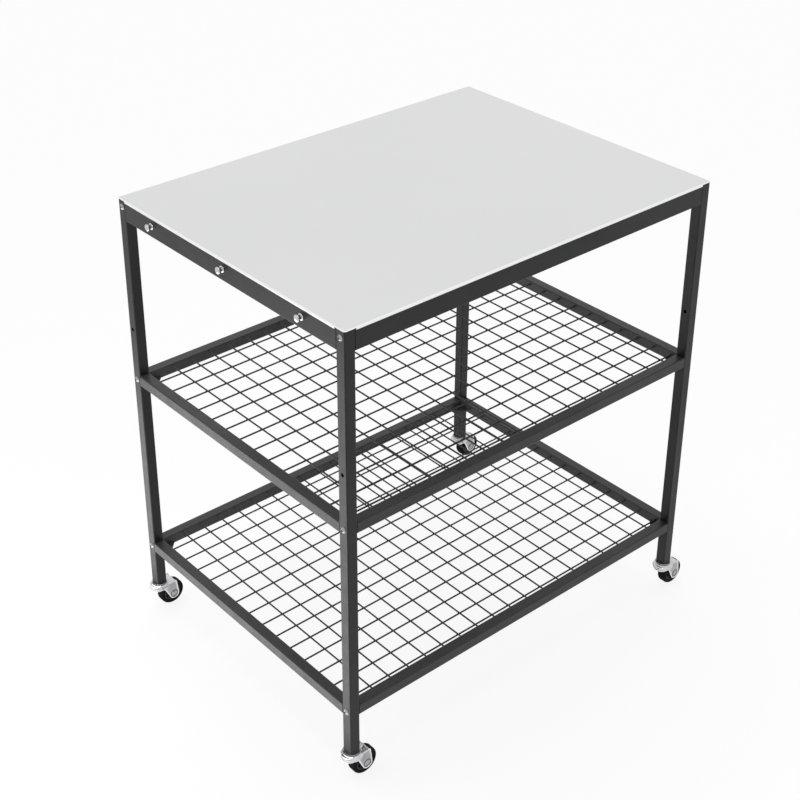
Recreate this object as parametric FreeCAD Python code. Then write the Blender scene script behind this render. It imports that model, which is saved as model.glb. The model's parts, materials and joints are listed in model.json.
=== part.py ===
import FreeCAD, Part
import math
import os

# Outdoor cooking table: a stainless top on a bolted square tube frame, with two wire mesh
# shelves, three peg hooks on the left side and four swivel casters.
# Millimetres. X runs along the table, Y from front to back, Z up.
# The origin is on the floor, under the centre of the frame.

# Frame
FRAME_LENGTH = 800.0
FRAME_WIDTH = 600.0
LEG_LENGTH = 801.0
TUBE_SIDE = 20.0
TUBE_WALL = 1.2
TUBE_CORNER = 2.0
TOP_RAIL_HEIGHT = 38.0
MID_SHELF_RISE = 461.0
BOTTOM_SHELF_RISE = 96.0

# Top panel
PANEL_THICKNESS = 1.2
PANEL_LIP = 4.0
PANEL_CORNER = 5.0
PANEL_BEND = 2.0
LIP_CLEARANCE = 0.3
LIP_END_GAP = 1.0

# Clips that hold the panel down to the top rails
CLIP_LENGTH = 25.0
CLIP_FLANGE = 15.0
CLIP_THICKNESS = 1.5
CLIP_END_SPACE = 170.0
CLIP_SCREW_RADIUS = 2.0
CLIP_SCREW_HEAD_RADIUS = 3.8
CLIP_SCREW_HEAD_HEIGHT = 2.4
CLIP_SCREW_REACH = 6.0

# Mesh shelves
WIRE_DIAMETER = 3.0
MESH_PITCH = 40.0
MESH_LAST_GAP = 8.0
WIRE_DROP = 2.5
WIRE_LAYER_GAP = 0.05
# From the inner faces of the left and front rails to the first wires
MID_MESH_START = (47.5, 11.5)
BOTTOM_MESH_START = (44.0, 10.0)

# Gussets welded in the inner corners of the rail frames
GUSSET_SIDE = 24.0
GUSSET_THICKNESS = 2.5
GUSSET_LIFT = 2.0
GUSSET_NOSE = 5.0

# Bolts through the legs into the ends of the long rails
BOLT_RADIUS = 3.0
BOLT_HEAD_RADIUS = 5.5
BOLT_HEAD_HEIGHT = 3.3
BOLT_SOCKET_ACROSS_FLATS = 4.0
BOLT_SOCKET_DEPTH = 1.8
BOLT_BITE = 12.0
BOLT_HOLE_CLEARANCE = 0.25
THREAD_CLEARANCE = 0.05
TOP_BOLT_DROP = 13.5
END_NUT_LENGTH = 15.0
INSERT_CLEARANCE = 0.1

# Spare holes in the legs, for another shelf height
SPARE_HOLE_RADIUS = 3.5
SPARE_HOLE_DROP = 249.0

# Peg hooks on the left top rail
HOOK_END_SPACE = 100.0
HOOK_DROP = 18.0
HOOK_FLANGE_RADIUS = 6.0
HOOK_FLANGE_LENGTH = 2.5
HOOK_NECK_RADIUS = 3.8
HOOK_HEAD_RADIUS = 6.0
HOOK_HEAD_LENGTH = 4.5
HOOK_LENGTH = 10.5
HOOK_EDGE = 1.0
HOOK_STUD_RADIUS = 2.5
HOOK_STUD_LENGTH = 11.0
RIVET_NUT_RADIUS = 3.5
RIVET_NUT_FLANGE_RADIUS = 4.5
RIVET_NUT_LENGTH = 9.0

# Threaded feet inserts in the leg ends
FOOT_FLANGE = 1.5
FOOT_PLUG_LENGTH = 25.0

# Casters
CASTER_HEIGHT = 58.5
CASTER_TRAIL = 22.0
WHEEL_RADIUS = 25.0
TYRE_WIDTH = 18.0
TYRE_SHOULDER = 4.0
HUB_RADIUS = 18.0
HUB_WIDTH = 16.0
HUB_BOSS_RADIUS = 6.5
HUB_WEB = 7.0
HUB_RECESS_RADIUS = 15.5
HUB_SIDE_CLEARANCE = 0.3
AXLE_RADIUS = 3.0
AXLE_HEAD_RADIUS = 5.0
AXLE_HEAD_HEIGHT = 2.5
AXLE_NUT_ACROSS_FLATS = 10.0
AXLE_NUT_HEIGHT = 4.0
AXLE_TAIL = 1.0
FORK_SHEET = 2.0
FORK_INSIDE_WIDTH = 24.0
FORK_AXLE_EYE = 9.5
FORK_FRONT_REACH = 18.5
FORK_REAR_REACH = 28.0
FORK_CORNER = 4.0
FORK_HOOD_DEPTH = 9.0
FORK_HOOD_END = 2.0
FORK_HOOD_ROUND = 6.0
SWIVEL_RIM_RADIUS = 16.0
SWIVEL_RIM_WALL = 1.5
SWIVEL_BELL_RADIUS = 19.5
SWIVEL_BELL_DEPTH = 6.0
SWIVEL_BELL_SLOPE = 4.0
SWIVEL_CAP_RADIUS = 14.0
SWIVEL_CAP_HEIGHT = 2.0
KING_PIN_RADIUS = 5.0
KING_PIN_HEAD_RADIUS = 7.5
KING_PIN_HEAD_HEIGHT = 1.0
STUD_RADIUS = 4.0
STUD_LENGTH = 20.0
BALL_RADIUS = 1.45
BALL_COUNT = 14
BALL_CIRCLE_RADIUS = 11.0
BALL_TRACK_HEIGHT = 3.0
CAGE_HALF_WIDTH = 2.3
CAGE_THICKNESS = 0.8
RUNNING_CLEARANCE = 0.06

# Levels and lines that several pieces share
LEG_FOOT_Z = CASTER_HEIGHT + FOOT_FLANGE
FRAME_TOP_Z = LEG_FOOT_Z + LEG_LENGTH
MID_RAIL_TOP_Z = LEG_FOOT_Z + MID_SHELF_RISE
BOTTOM_RAIL_TOP_Z = LEG_FOOT_Z + BOTTOM_SHELF_RISE
TOP_BOLT_Z = FRAME_TOP_Z - TOP_BOLT_DROP
MID_BOLT_Z = MID_RAIL_TOP_Z - TUBE_SIDE / 2
BOTTOM_BOLT_Z = BOTTOM_RAIL_TOP_Z - TUBE_SIDE / 2
HALF_LENGTH = FRAME_LENGTH / 2
HALF_WIDTH = FRAME_WIDTH / 2
INNER_X = HALF_LENGTH - TUBE_SIDE
INNER_Y = HALF_WIDTH - TUBE_SIDE
LEG_X = HALF_LENGTH - TUBE_SIDE / 2
LEG_Y = HALF_WIDTH - TUBE_SIDE / 2
TUBE_BORE = TUBE_SIDE - 2 * TUBE_WALL

X_AXIS = FreeCAD.Vector(1, 0, 0)
Y_AXIS = FreeCAD.Vector(0, 1, 0)
Z_AXIS = FreeCAD.Vector(0, 0, 1)

# Corner name, side of the table along X, side along Y
CORNERS = (
    ("front_left", -1, -1),
    ("front_right", 1, -1),
    ("back_left", -1, 1),
    ("back_right", 1, 1),
)


def save(name, solids):
    shape = solids if isinstance(solids, Part.Shape) else Part.makeCompound(solids)
    shape.exportStep("parts/" + name + ".step")


def point(x, y, z):
    return FreeCAD.Vector(x, y, z)


def box(x0, x1, y0, y1, z0, z1):
    return Part.makeBox(x1 - x0, y1 - y0, z1 - z0, point(x0, y0, z0))


def rod(radius, length, start, axis):
    return Part.makeCylinder(radius, length, start, axis)


def rounded_bar(x0, x1, y0, y1, z0, z1, radius, axis):
    """A square bar along axis with its four long edges rounded."""
    bar = box(x0, x1, y0, y1, z0, z1)
    edges = [e for e in bar.Edges if abs(e.tangentAt(e.FirstParameter).dot(axis)) > 0.99]
    return bar.makeFillet(radius, edges)


def level_edges(shape, z):
    """The shape's edges that lie at height z."""
    return [e for e in shape.Edges if abs(e.BoundBox.ZMin - z) < 0.01 and abs(e.BoundBox.ZMax - z) < 0.01]


def tube(x0, x1, y0, y1, z0, z1, axis):
    """A rectangular tube along axis, open at both ends."""
    outer = rounded_bar(x0, x1, y0, y1, z0, z1, TUBE_CORNER, axis)
    inset = [0.0 if axis.dot(a) > 0.5 else TUBE_WALL for a in (X_AXIS, Y_AXIS, Z_AXIS)]
    inner = rounded_bar(x0 + inset[0], x1 - inset[0], y0 + inset[1], y1 - inset[1],
                        z0 + inset[2], z1 - inset[2], TUBE_CORNER - TUBE_WALL, axis)
    return outer.cut(inner)


def hexagon_prism(across_flats, length, start, axis, spin_axis):
    """A hexagonal prism from start along axis, with a flat facing spin_axis."""
    radius = across_flats / math.sqrt(3)
    side_axis = axis.cross(spin_axis)
    corners = []
    for index in range(6):
        angle = math.radians(30 + 60 * index)
        across = spin_axis * (radius * math.cos(angle)) + side_axis * (radius * math.sin(angle))
        corners.append(start + across)
    corners.append(corners[0])
    return Part.Face(Part.makePolygon(corners)).extrude(axis * length)


def turned(profile, centre, axis):
    """A turned piece: the profile is (distance along axis, radius) pairs, closed on the axis."""
    side_axis = Z_AXIS if abs(axis.dot(Z_AXIS)) < 0.5 else X_AXIS
    points = [centre + axis * along + side_axis * radius for along, radius in profile]
    points.append(points[0])
    return Part.Face(Part.makePolygon(points)).revolve(centre, axis, 360)


def domed_bolt(face, outward, head_radius, head_height, shank_radius, shank_length):
    """A level bolt with a domed head that sits on face and a shank that runs the other way."""
    ball_radius = (head_radius ** 2 + head_height ** 2) / (2 * head_height)
    half_angle = math.asin(head_radius / ball_radius) / 2
    ball_middle = head_height - ball_radius
    shank_end = face - outward * shank_length
    rim = face + Z_AXIS * head_radius
    crest = face + outward * head_height
    between = (face + outward * (ball_middle + ball_radius * math.cos(half_angle))
               + Z_AXIS * (ball_radius * math.sin(half_angle)))
    outline = Part.Wire([
        Part.makeLine(shank_end, shank_end + Z_AXIS * shank_radius),
        Part.makeLine(shank_end + Z_AXIS * shank_radius, face + Z_AXIS * shank_radius),
        Part.makeLine(face + Z_AXIS * shank_radius, rim),
        Part.Arc(rim, between, crest).toShape(),
        Part.makeLine(crest, shank_end),
    ])
    return Part.Face(outline).revolve(face, outward, 360)


def top_panel():
    """A stainless pan: a flat sheet whose edges turn down outside the rails and stop at the legs."""
    half_x = HALF_LENGTH + LIP_CLEARANCE
    half_y = HALF_WIDTH + LIP_CLEARANCE
    top_z = FRAME_TOP_Z + PANEL_THICKNESS
    lip_z = top_z - PANEL_LIP
    sheet = rounded_bar(-half_x - PANEL_THICKNESS, half_x + PANEL_THICKNESS,
                        -half_y - PANEL_THICKNESS, half_y + PANEL_THICKNESS,
                        lip_z, top_z, PANEL_CORNER, Z_AXIS)
    sheet = sheet.makeFillet(PANEL_BEND, level_edges(sheet, top_z))
    below_z = lip_z - PANEL_THICKNESS
    inside = box(-half_x, half_x, -half_y, half_y, below_z, FRAME_TOP_Z)
    inside = inside.makeFillet(PANEL_BEND - PANEL_THICKNESS, level_edges(inside, FRAME_TOP_Z))
    sheet = sheet.cut(inside)
    lip_end = TUBE_SIDE + LIP_END_GAP
    for _, side_x, side_y in CORNERS:
        near_x = side_x * (HALF_LENGTH - lip_end)
        near_y = side_y * (HALF_WIDTH - lip_end)
        far_x = side_x * (half_x + 2 * PANEL_THICKNESS)
        far_y = side_y * (half_y + 2 * PANEL_THICKNESS)
        notch = box(min(near_x, far_x), max(near_x, far_x), min(near_y, far_y), max(near_y, far_y),
                    below_z, FRAME_TOP_Z)
        sheet = sheet.cut(notch)
    return sheet


def top_cross_brace():
    """The tube under the middle of the panel, from the front rail to the back rail."""
    half = TUBE_SIDE / 2
    return tube(-half, half, -INNER_Y, INNER_Y, FRAME_TOP_Z - TUBE_SIDE, FRAME_TOP_Z, Y_AXIS)


def clip_places():
    """Where each clip stands: a point on the rail's inner face and the way into the table."""
    places = []
    for side_y in (-1, 1):
        for side_x in (-1, 1):
            x = side_x * (HALF_LENGTH - CLIP_END_SPACE)
            places.append((point(x, side_y * INNER_Y, FRAME_TOP_Z), point(0, -side_y, 0)))
    for side_x in (-1, 1):
        places.append((point(side_x * INNER_X, 0, FRAME_TOP_Z), point(-side_x, 0, 0)))
    return places


def clip_screw_start(place, inward):
    return place + inward * CLIP_THICKNESS - Z_AXIS * (CLIP_FLANGE / 2)


def panel_clips():
    """Angle clips, one flange under the sheet and one on the rail's inner face."""
    clips = []
    for place, inward in clip_places():
        along = Z_AXIS.cross(inward)
        corner = place - along * (CLIP_LENGTH / 2)
        outline = [
            corner,
            corner + inward * CLIP_FLANGE,
            corner + inward * CLIP_FLANGE - Z_AXIS * CLIP_THICKNESS,
            corner + inward * CLIP_THICKNESS - Z_AXIS * CLIP_THICKNESS,
            corner + inward * CLIP_THICKNESS - Z_AXIS * CLIP_FLANGE,
            corner - Z_AXIS * CLIP_FLANGE,
            corner,
        ]
        clip = Part.Face(Part.makePolygon(outline)).extrude(along * CLIP_LENGTH)
        hole = rod(CLIP_SCREW_RADIUS + THREAD_CLEARANCE, 3 * CLIP_THICKNESS,
                   clip_screw_start(place, inward) + inward * CLIP_THICKNESS, inward * -1)
        clips.append(clip.cut(hole))
    return clips


def panel_clip_screws():
    screws = []
    for place, inward in clip_places():
        screws.append(domed_bolt(clip_screw_start(place, inward), inward, CLIP_SCREW_HEAD_RADIUS,
                                 CLIP_SCREW_HEAD_HEIGHT, CLIP_SCREW_RADIUS, CLIP_SCREW_REACH))
    return screws


def cut_clip_holes(rail):
    """The screw holes that the clips need in a top rail."""
    for place, inward in clip_places():
        start = clip_screw_start(place, inward)
        rail = rail.cut(rod(CLIP_SCREW_RADIUS + THREAD_CLEARANCE, CLIP_SCREW_REACH, start, inward * -1))
    return rail


def long_rail(side_y, top_z, height):
    """A rail along X, flush with the outer faces of its two legs."""
    outer = side_y * HALF_WIDTH
    inner = side_y * INNER_Y
    return tube(-INNER_X, INNER_X, min(inner, outer), max(inner, outer), top_z - height, top_z, X_AXIS)


def short_rail(side_x, top_z, height):
    """A rail along Y, flush with the outer faces of its two legs."""
    outer = side_x * HALF_LENGTH
    inner = side_x * INNER_X
    return tube(min(inner, outer), max(inner, outer), -INNER_Y, INNER_Y, top_z - height, top_z, Y_AXIS)


def hook_points():
    """The hooks' places on the outer face of the left top rail, front to back."""
    z = FRAME_TOP_Z + PANEL_THICKNESS - HOOK_DROP
    end_y = HALF_WIDTH - HOOK_END_SPACE
    return [point(-HALF_LENGTH, y, z) for y in (-end_y, 0, end_y)]


def left_top_rail():
    rail = cut_clip_holes(short_rail(-1, FRAME_TOP_Z, TOP_RAIL_HEIGHT))
    for spot in hook_points():
        rail = rail.cut(rod(RIVET_NUT_RADIUS, 3 * TUBE_WALL, spot - X_AXIS * TUBE_WALL, X_AXIS))
    return rail


def peg_hook(spot):
    """A small spool shaped peg with a threaded stud behind it."""
    neck_end = HOOK_LENGTH - HOOK_HEAD_LENGTH
    profile = [
        (-HOOK_STUD_LENGTH, 0),
        (-HOOK_STUD_LENGTH, HOOK_STUD_RADIUS),
        (0, HOOK_STUD_RADIUS),
        (0, HOOK_FLANGE_RADIUS),
        (HOOK_FLANGE_LENGTH - HOOK_EDGE, HOOK_FLANGE_RADIUS),
        (HOOK_FLANGE_LENGTH, HOOK_FLANGE_RADIUS - HOOK_EDGE),
        (HOOK_FLANGE_LENGTH, HOOK_NECK_RADIUS),
        (neck_end, HOOK_NECK_RADIUS),
        (neck_end, HOOK_HEAD_RADIUS - HOOK_EDGE),
        (neck_end + HOOK_EDGE, HOOK_HEAD_RADIUS),
        (HOOK_LENGTH - HOOK_EDGE, HOOK_HEAD_RADIUS),
        (HOOK_LENGTH, HOOK_HEAD_RADIUS - 2 * HOOK_EDGE),
        (HOOK_LENGTH, 0),
    ]
    return turned(profile, spot, X_AXIS * -1)


def hook_rivet_nuts():
    """The threaded rivet nuts set in the rail's outer wall, behind the hooks."""
    nuts = []
    for spot in hook_points():
        sleeve = rod(RIVET_NUT_RADIUS, RIVET_NUT_LENGTH, spot, X_AXIS)
        crimp = rod(RIVET_NUT_FLANGE_RADIUS, TUBE_WALL, spot + X_AXIS * TUBE_WALL, X_AXIS)
        thread = rod(HOOK_STUD_RADIUS + THREAD_CLEARANCE, 2 * RIVET_NUT_LENGTH, spot, X_AXIS)
        nuts.append(sleeve.fuse(crimp).cut(thread))
    return nuts


def leg(side_x, side_y):
    """A leg with its bolt holes at the three rails and its spare holes."""
    x = side_x * LEG_X
    y = side_y * LEG_Y
    half = TUBE_SIDE / 2
    body = tube(x - half, x + half, y - half, y + half, LEG_FOOT_Z, FRAME_TOP_Z, Z_AXIS)
    start_x = x - TUBE_SIDE
    for z in (TOP_BOLT_Z, MID_BOLT_Z, BOTTOM_BOLT_Z):
        body = body.cut(rod(BOLT_RADIUS + BOLT_HOLE_CLEARANCE, 2 * TUBE_SIDE, point(start_x, y, z), X_AXIS))
    spare_z = FRAME_TOP_Z - SPARE_HOLE_DROP
    return body.cut(rod(SPARE_HOLE_RADIUS, 2 * TUBE_SIDE, point(start_x, y, spare_z), X_AXIS))


def frame_bolts():
    """Button head bolts through the legs' outer faces into the long rails' ends."""
    bolts = []
    for _, side_x, side_y in CORNERS:
        for z in (TOP_BOLT_Z, MID_BOLT_Z, BOTTOM_BOLT_Z):
            face = point(side_x * HALF_LENGTH, side_y * LEG_Y, z)
            outward = X_AXIS * side_x
            bolt = domed_bolt(face, outward, BOLT_HEAD_RADIUS, BOLT_HEAD_HEIGHT,
                              BOLT_RADIUS, TUBE_SIDE + BOLT_BITE)
            socket_start = face + outward * (BOLT_HEAD_HEIGHT - BOLT_SOCKET_DEPTH)
            socket = hexagon_prism(BOLT_SOCKET_ACROSS_FLATS, BOLT_HEAD_HEIGHT, socket_start, outward, Z_AXIS)
            bolts.append(bolt.cut(socket))
    return bolts


def end_nuts(top_z, height, bolt_z):
    """The threaded blocks welded inside the ends of the long rails at one level."""
    nuts = []
    fit = TUBE_WALL + INSERT_CLEARANCE
    for _, side_x, side_y in CORNERS:
        end_x = side_x * INNER_X
        deep_x = side_x * (INNER_X - END_NUT_LENGTH)
        y = side_y * LEG_Y
        half = TUBE_SIDE / 2 - fit
        block = rounded_bar(min(end_x, deep_x), max(end_x, deep_x), y - half, y + half,
                            top_z - height + fit, top_z - fit, TUBE_CORNER - TUBE_WALL, X_AXIS)
        thread = rod(BOLT_RADIUS + THREAD_CLEARANCE, 2 * END_NUT_LENGTH,
                     point(side_x * (INNER_X + TUBE_WALL), y, bolt_z), X_AXIS * -side_x)
        nuts.append(block.cut(thread))
    return nuts


def corner_gussets():
    """Flat plates welded in the inner corners, joining each long rail to its short rails."""
    plates = []
    levels = (
        FRAME_TOP_Z - TOP_RAIL_HEIGHT,
        MID_RAIL_TOP_Z - TUBE_SIDE,
        BOTTOM_RAIL_TOP_Z - TUBE_SIDE,
    )
    for rail_bottom_z in levels:
        z = rail_bottom_z + GUSSET_LIFT
        for _, side_x, side_y in CORNERS:
            outline = []
            for in_x, in_y in ((GUSSET_NOSE, 0), (GUSSET_SIDE, 0), (0, GUSSET_SIDE), (0, GUSSET_NOSE)):
                outline.append(point(side_x * (INNER_X - in_x), side_y * (INNER_Y - in_y), z))
            outline.append(outline[0])
            plates.append(Part.Face(Part.makePolygon(outline)).extrude(Z_AXIS * GUSSET_THICKNESS))
    return plates


def wire_lines(inner_half, start):
    """The wires' places from one rail's inner face on, as many as the pitch fits in."""
    count = 1 + math.floor((2 * inner_half - start - MESH_LAST_GAP) / MESH_PITCH)
    return [start - inner_half + index * MESH_PITCH for index in range(count)]


def mesh_wires_across(rail_top_z, mesh_start):
    """The upper layer of a shelf: the wires from the front rail to the back rail."""
    z = rail_top_z - WIRE_DROP - WIRE_DIAMETER / 2
    wires = []
    for x in wire_lines(INNER_X, mesh_start[0]):
        wires.append(rod(WIRE_DIAMETER / 2, 2 * INNER_Y, point(x, -INNER_Y, z), Y_AXIS))
    return wires


def mesh_wires_along(rail_top_z, mesh_start):
    """The lower layer of a shelf: the wires from the left rail to the right rail."""
    z = rail_top_z - WIRE_DROP - 1.5 * WIRE_DIAMETER - WIRE_LAYER_GAP
    wires = []
    for y in wire_lines(INNER_Y, mesh_start[1]):
        wires.append(rod(WIRE_DIAMETER / 2, 2 * INNER_X, point(-INNER_X, y, z), X_AXIS))
    return wires


def leg_foot_inserts():
    """Square plugs in the leg ends, threaded for the casters."""
    plugs = []
    half = TUBE_SIDE / 2
    plug_half = TUBE_BORE / 2 - INSERT_CLEARANCE
    for _, side_x, side_y in CORNERS:
        x = side_x * LEG_X
        y = side_y * LEG_Y
        flange = rounded_bar(x - half, x + half, y - half, y + half,
                             CASTER_HEIGHT, LEG_FOOT_Z, TUBE_CORNER, Z_AXIS)
        plug = rounded_bar(x - plug_half, x + plug_half, y - plug_half, y + plug_half,
                           LEG_FOOT_Z, LEG_FOOT_Z + FOOT_PLUG_LENGTH, TUBE_CORNER - TUBE_WALL, Z_AXIS)
        thread = rod(STUD_RADIUS + THREAD_CLEARANCE, FOOT_PLUG_LENGTH + 3 * FOOT_FLANGE,
                     point(x, y, CASTER_HEIGHT - FOOT_FLANGE), Z_AXIS)
        plugs.append(flange.fuse(plug).cut(thread))
    return plugs


# Heights inside a caster, from the mounting face down
CAP_BOTTOM_Z = CASTER_HEIGHT - SWIVEL_CAP_HEIGHT
CROWN_TOP_Z = CAP_BOTTOM_Z - BALL_TRACK_HEIGHT
CROWN_BOTTOM_Z = CROWN_TOP_Z - FORK_SHEET
HOOD_BOTTOM_Z = CROWN_TOP_Z - FORK_HOOD_DEPTH
FORK_OUTSIDE_HALF = FORK_INSIDE_WIDTH / 2 + FORK_SHEET


def caster_centre(side_x, side_y):
    return point(side_x * LEG_X, side_y * LEG_Y, 0)


def axle_centre(centre):
    return centre + point(CASTER_TRAIL, 0, WHEEL_RADIUS)


def caster_stem(centre):
    """The threaded stud, the upper bearing cap and the king pin, as one turned piece."""
    profile = [
        (CROWN_BOTTOM_Z - KING_PIN_HEAD_HEIGHT, 0),
        (CROWN_BOTTOM_Z - KING_PIN_HEAD_HEIGHT, KING_PIN_HEAD_RADIUS),
        (CROWN_BOTTOM_Z - RUNNING_CLEARANCE, KING_PIN_HEAD_RADIUS),
        (CROWN_BOTTOM_Z - RUNNING_CLEARANCE, KING_PIN_RADIUS),
        (CAP_BOTTOM_Z, KING_PIN_RADIUS),
        (CAP_BOTTOM_Z, SWIVEL_CAP_RADIUS),
        (CASTER_HEIGHT, SWIVEL_CAP_RADIUS),
        (CASTER_HEIGHT, STUD_RADIUS),
        (CASTER_HEIGHT + STUD_LENGTH, STUD_RADIUS),
        (CASTER_HEIGHT + STUD_LENGTH, 0),
    ]
    return turned(profile, centre, Z_AXIS)


def caster_bearing(centre):
    """The balls and their flat cage, between the cap and the fork's crown."""
    middle = centre + Z_AXIS * ((CAP_BOTTOM_Z + CROWN_TOP_Z) / 2)
    down = Z_AXIS * (CAGE_THICKNESS / 2)
    cage = rod(BALL_CIRCLE_RADIUS + CAGE_HALF_WIDTH, CAGE_THICKNESS, middle - down, Z_AXIS)
    cage = cage.cut(rod(BALL_CIRCLE_RADIUS - CAGE_HALF_WIDTH, CAGE_THICKNESS, middle - down, Z_AXIS))
    balls = []
    for index in range(BALL_COUNT):
        angle = 2 * math.pi * index / BALL_COUNT
        offset = point(BALL_CIRCLE_RADIUS * math.cos(angle), BALL_CIRCLE_RADIUS * math.sin(angle), 0)
        cage = cage.cut(rod(BALL_RADIUS + RUNNING_CLEARANCE, CAGE_THICKNESS, middle + offset - down, Z_AXIS))
        balls.append(Part.makeSphere(BALL_RADIUS, middle + offset))
    return [cage] + balls


def tangent_point(outside, middle, radius, turn):
    """Where a line from outside touches the circle, on the side that turn (1 or -1) says."""
    reach = outside - middle
    angle = math.atan2(reach.z, reach.x) + turn * math.acos(radius / reach.Length)
    return middle + point(radius * math.cos(angle), 0, radius * math.sin(angle))


def rounded_corner(before, corner, after, reach):
    """Start, middle and end of the arc that rounds a corner, reach away from it on both sides."""
    back = (before - corner).normalize()
    ahead = (after - corner).normalize()
    half_angle = math.acos(back.dot(ahead)) / 2
    bisector = (back + ahead).normalize()
    radius = reach * math.tan(half_angle)
    middle = corner + bisector * (radius / math.sin(half_angle) - radius)
    return corner + back * reach, middle, corner + ahead * reach


def fork_side_block(centre):
    """The fork's outline seen from the side, as thick as the fork is wide."""
    start = centre - Y_AXIS * FORK_OUTSIDE_HALF
    eye = start + point(CASTER_TRAIL, 0, WHEEL_RADIUS)
    front_top = start + point(-FORK_FRONT_REACH, 0, CROWN_TOP_Z)
    front_low = start + point(-FORK_FRONT_REACH, 0, HOOD_BOTTOM_Z)
    hood_corner = start + point(FORK_HOOD_END, 0, HOOD_BOTTOM_Z)
    rear_corner = start + point(FORK_REAR_REACH, 0, CROWN_TOP_Z)
    front_touch = tangent_point(hood_corner, eye, FORK_AXLE_EYE, 1)
    rear_touch = tangent_point(rear_corner, eye, FORK_AXLE_EYE, -1)
    lowest = eye - Z_AXIS * FORK_AXLE_EYE
    hood_arc = rounded_corner(front_low, hood_corner, front_touch, FORK_HOOD_ROUND)
    rear_arc = rounded_corner(rear_touch, rear_corner, front_top, FORK_CORNER)
    outline = Part.Wire([
        Part.makeLine(front_top, front_low),
        Part.makeLine(front_low, hood_arc[0]),
        Part.Arc(*hood_arc).toShape(),
        Part.makeLine(hood_arc[2], front_touch),
        Part.Arc(front_touch, lowest, rear_touch).toShape(),
        Part.makeLine(rear_touch, rear_arc[0]),
        Part.Arc(*rear_arc).toShape(),
        Part.makeLine(rear_arc[2], front_top),
    ])
    return Part.Face(outline).extrude(Y_AXIS * (2 * FORK_OUTSIDE_HALF))


def fork_plan_block(centre, inset, top_z):
    """The fork's outline seen from above, round at the front, from the floor to top_z."""
    half = FORK_OUTSIDE_HALF - inset
    front = centre - X_AXIS * (FORK_FRONT_REACH - FORK_OUTSIDE_HALF)
    far_x = centre.x + CASTER_TRAIL + 2 * FORK_AXLE_EYE
    straight = box(front.x, far_x, centre.y - half, centre.y + half, 0, top_z)
    return straight.fuse(rod(half, top_z, front, Z_AXIS))


def swivel_bell(centre):
    """The fork's round top: a level floor under the balls, a rim round them and a flared skirt."""
    rim_inside = SWIVEL_RIM_RADIUS - SWIVEL_RIM_WALL
    skirt_inside = SWIVEL_BELL_RADIUS - FORK_SHEET
    skirt_bottom_z = CROWN_TOP_Z - SWIVEL_BELL_DEPTH
    slope_end_z = CROWN_TOP_Z - SWIVEL_BELL_SLOPE
    profile = [
        (CROWN_BOTTOM_Z, 0),
        (CROWN_BOTTOM_Z, rim_inside),
        (slope_end_z, skirt_inside),
        (skirt_bottom_z, skirt_inside),
        (skirt_bottom_z, SWIVEL_BELL_RADIUS),
        (slope_end_z, SWIVEL_BELL_RADIUS),
        (CROWN_TOP_Z, SWIVEL_RIM_RADIUS),
        (CAP_BOTTOM_Z, SWIVEL_RIM_RADIUS),
        (CAP_BOTTOM_Z, rim_inside),
        (CROWN_TOP_Z, rim_inside),
        (CROWN_TOP_Z, 0),
    ]
    return turned(profile, centre, Z_AXIS)


def caster_fork(centre):
    """The pressed fork: a swivel bell, a hooded crown over the wheel and two cheeks."""
    wheel_room = fork_plan_block(centre, FORK_SHEET, CROWN_BOTTOM_Z)
    shell = fork_plan_block(centre, 0, CROWN_TOP_Z).common(fork_side_block(centre))
    fork = shell.fuse(swivel_bell(centre)).cut(wheel_room)
    king_hole = rod(KING_PIN_RADIUS + RUNNING_CLEARANCE, 3 * FORK_SHEET,
                    centre + Z_AXIS * (CROWN_BOTTOM_Z - FORK_SHEET), Z_AXIS)
    axle_hole = rod(AXLE_RADIUS + THREAD_CLEARANCE, 3 * FORK_OUTSIDE_HALF,
                    axle_centre(centre) - Y_AXIS * (1.5 * FORK_OUTSIDE_HALF), Y_AXIS)
    return fork.cut(king_hole).cut(axle_hole).removeSplitter()


def caster_axle(centre):
    """The wheel bolt, with a domed head at the front and a nut at the back."""
    eye = axle_centre(centre)
    front = eye - Y_AXIS * FORK_OUTSIDE_HALF
    back = eye + Y_AXIS * FORK_OUTSIDE_HALF
    bolt = domed_bolt(front, Y_AXIS * -1, AXLE_HEAD_RADIUS, AXLE_HEAD_HEIGHT,
                      AXLE_RADIUS, 2 * FORK_OUTSIDE_HALF + AXLE_NUT_HEIGHT + AXLE_TAIL)
    return bolt.fuse(hexagon_prism(AXLE_NUT_ACROSS_FLATS, AXLE_NUT_HEIGHT, back, Y_AXIS, Z_AXIS))


def wheel_hub(centre):
    """The wheel's core: a rim, a thin web and a boss that runs on the axle."""
    boss = FORK_INSIDE_WIDTH / 2 - HUB_SIDE_CLEARANCE
    bore = AXLE_RADIUS + RUNNING_CLEARANCE
    profile = [
        (-boss, bore),
        (-boss, HUB_BOSS_RADIUS),
        (-HUB_WEB / 2, HUB_BOSS_RADIUS),
        (-HUB_WEB / 2, HUB_RECESS_RADIUS),
        (-HUB_WIDTH / 2, HUB_RECESS_RADIUS),
        (-HUB_WIDTH / 2, HUB_RADIUS),
        (HUB_WIDTH / 2, HUB_RADIUS),
        (HUB_WIDTH / 2, HUB_RECESS_RADIUS),
        (HUB_WEB / 2, HUB_RECESS_RADIUS),
        (HUB_WEB / 2, HUB_BOSS_RADIUS),
        (boss, HUB_BOSS_RADIUS),
        (boss, bore),
    ]
    return turned(profile, axle_centre(centre), Y_AXIS)


def wheel_tyre(centre):
    """The tyre on the hub, with rounded shoulders."""
    eye = axle_centre(centre)
    start = eye - Y_AXIS * (TYRE_WIDTH / 2)
    tyre = rod(WHEEL_RADIUS, TYRE_WIDTH, start, Y_AXIS)
    shoulders = [e for e in tyre.Edges if isinstance(e.Curve, Part.Circle)]
    tyre = tyre.makeFillet(TYRE_SHOULDER, shoulders)
    return tyre.cut(rod(HUB_RADIUS, TYRE_WIDTH, start, Y_AXIS))


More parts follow.
